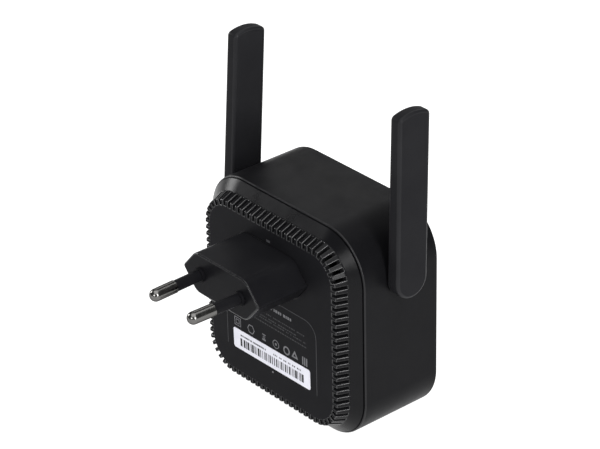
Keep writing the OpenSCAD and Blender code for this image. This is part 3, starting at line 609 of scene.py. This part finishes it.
def print_label():
    """Bars of mixed width and a row of tiny dashes on the paper label."""
    draw = random.Random(11)
    bar_top, bar_foot = 0.7, -2.1
    bars = []
    for start, end in ((14.8, 0.6), (-0.2, -14.2)):
        at = start
        while at > end:
            width = draw.choice((0.26, 0.4, 0.55, 0.9))
            middle = at - width / 2
            bars.append(([(middle, bar_top), (middle, bar_foot)], width, False))
            at -= width + draw.choice((0.24, 0.34, 0.6))
    bars += dashes(14.6, 2.6, 1.75, 0.55, (0.35, 0.5, 0.7), 0.16, draw)
    bars += dashes(-1.0, -14.0, 1.75, 0.55, (0.35, 0.5), 0.3, draw)
    top = LABEL_HIGH.y - PANEL_Y
    flat_piece("label_bars", bars, top - 0.02 * MM, top + 0.01 * MM, LABEL_Z, BAR_INK,
               LABEL_TILT)


def mould_mark():
    """A small raised dash that the mould leaves above the plug."""
    dash = bar(MARK_HALF_WIDTH, -MARK_HALF_WIDTH, MARK_RISE, MARK_HEIGHT)
    flat_piece("mould_mark", [dash], -0.05 * MM, 0.16 * MM, BODY_Z, MARK_LOOK)


# ---- camera, floor and light ----

def place_camera():
    """The camera stands behind and above, to the left of someone at the front."""
    azimuth, elevation, roll = math.radians(230.155), math.radians(28.954), math.radians(-1.309)
    distance = 798.2 * MM
    aim = Vector((6.165 * MM, -36.238 * MM, 4.690 * MM))
    back = Vector((math.sin(azimuth) * math.cos(elevation), -math.cos(azimuth) * math.cos(elevation),
                   math.sin(elevation)))
    camera = bpy.data.objects.new("camera", bpy.data.cameras.new("camera"))
    bpy.context.scene.collection.objects.link(camera)
    facing = (-back).to_track_quat("-Z", "Y").to_matrix().to_4x4()
    camera.matrix_world = Matrix.Translation(aim + back * distance) @ facing @ Matrix.Rotation(roll, 4, "Z")
    camera.data.lens = 158.57
    camera.data.sensor_width = 36
    camera.data.clip_start = 0.05
    camera.data.clip_end = 20
    bpy.context.scene.camera = camera


def make_floor():
    """A product table of pale acrylic, lit from below."""
    mesh = bpy.data.meshes.new("floor")
    size = 4.0
    corners = [(-size, -size, 0), (size, -size, 0), (size, size, 0), (-size, size, 0)]
    mesh.from_pydata(corners, [], [(0, 1, 2, 3)])
    floor = bpy.data.objects.new("floor", mesh)
    floor.location.z = FLOOR_Z
    bpy.context.scene.collection.objects.link(floor)
    material, tree, shader = new_material("floor_paper")
    tone = ranged(tree, noise(tree, 12), 0, 1)
    tree.links.new(mixed(tree, tone, (0.3, 0.3, 0.3), (0.32, 0.32, 0.32)), shader.inputs["Base Color"])
    shader.inputs["Roughness"].default_value = 0.9
    shader.inputs["Emission Color"].default_value = (1, 1, 1, 1)
    shader.inputs["Emission Strength"].default_value = 0.95
    floor.data.materials.append(material)


def area_light(name, place, aim, width, height, power):
    """A softbox that faces a point, its power in watts."""
    data = bpy.data.lights.new(name, "AREA")
    data.shape = "RECTANGLE"
    data.size = width
    data.size_y = height
    data.energy = power
    light = bpy.data.objects.new(name, data)
    light.location = place
    light.rotation_euler = (Vector(aim) - Vector(place)).to_track_quat("-Z", "Y").to_euler()
    bpy.context.scene.collection.objects.link(light)


def light_scene():
    """A dim even studio with five softboxes, each placed for one highlight on the dark plastic."""
    scene = bpy.context.scene
    scene.view_settings.view_transform = "Standard"
    world = bpy.data.worlds.new("studio")
    world.use_nodes = True
    background = world.node_tree.nodes["Background"]
    background.inputs["Color"].default_value = (1, 1, 1, 1)
    background.inputs["Strength"].default_value = 0.12
    scene.world = world
    middle = (0, -0.03, 0)
    softboxes = (
        ("top_softbox", (-0.2, 0.1, 1.3), 1.6, 1.6, 18),
        ("far_softbox", (1.0, -1.0, 0.8), 1.2, 0.8, 4),
        ("right_softbox", (1.35, 0.42, 0.5), 0.5, 0.5, 12),
        ("rim_softbox", (-1.25, 0.08, 0.5), 0.35, 0.9, 15),
        ("camera_softbox", (-0.52, 1.27, 0.53), 0.5, 0.4, 8),
    )
    for name, place, width, height, power in softboxes:
        area_light(name, place, middle, width, height, power)


dress_cad_nodes()
make_skins()
print_panel()
print_label()
mould_mark()
place_camera()
make_floor()
light_scene()
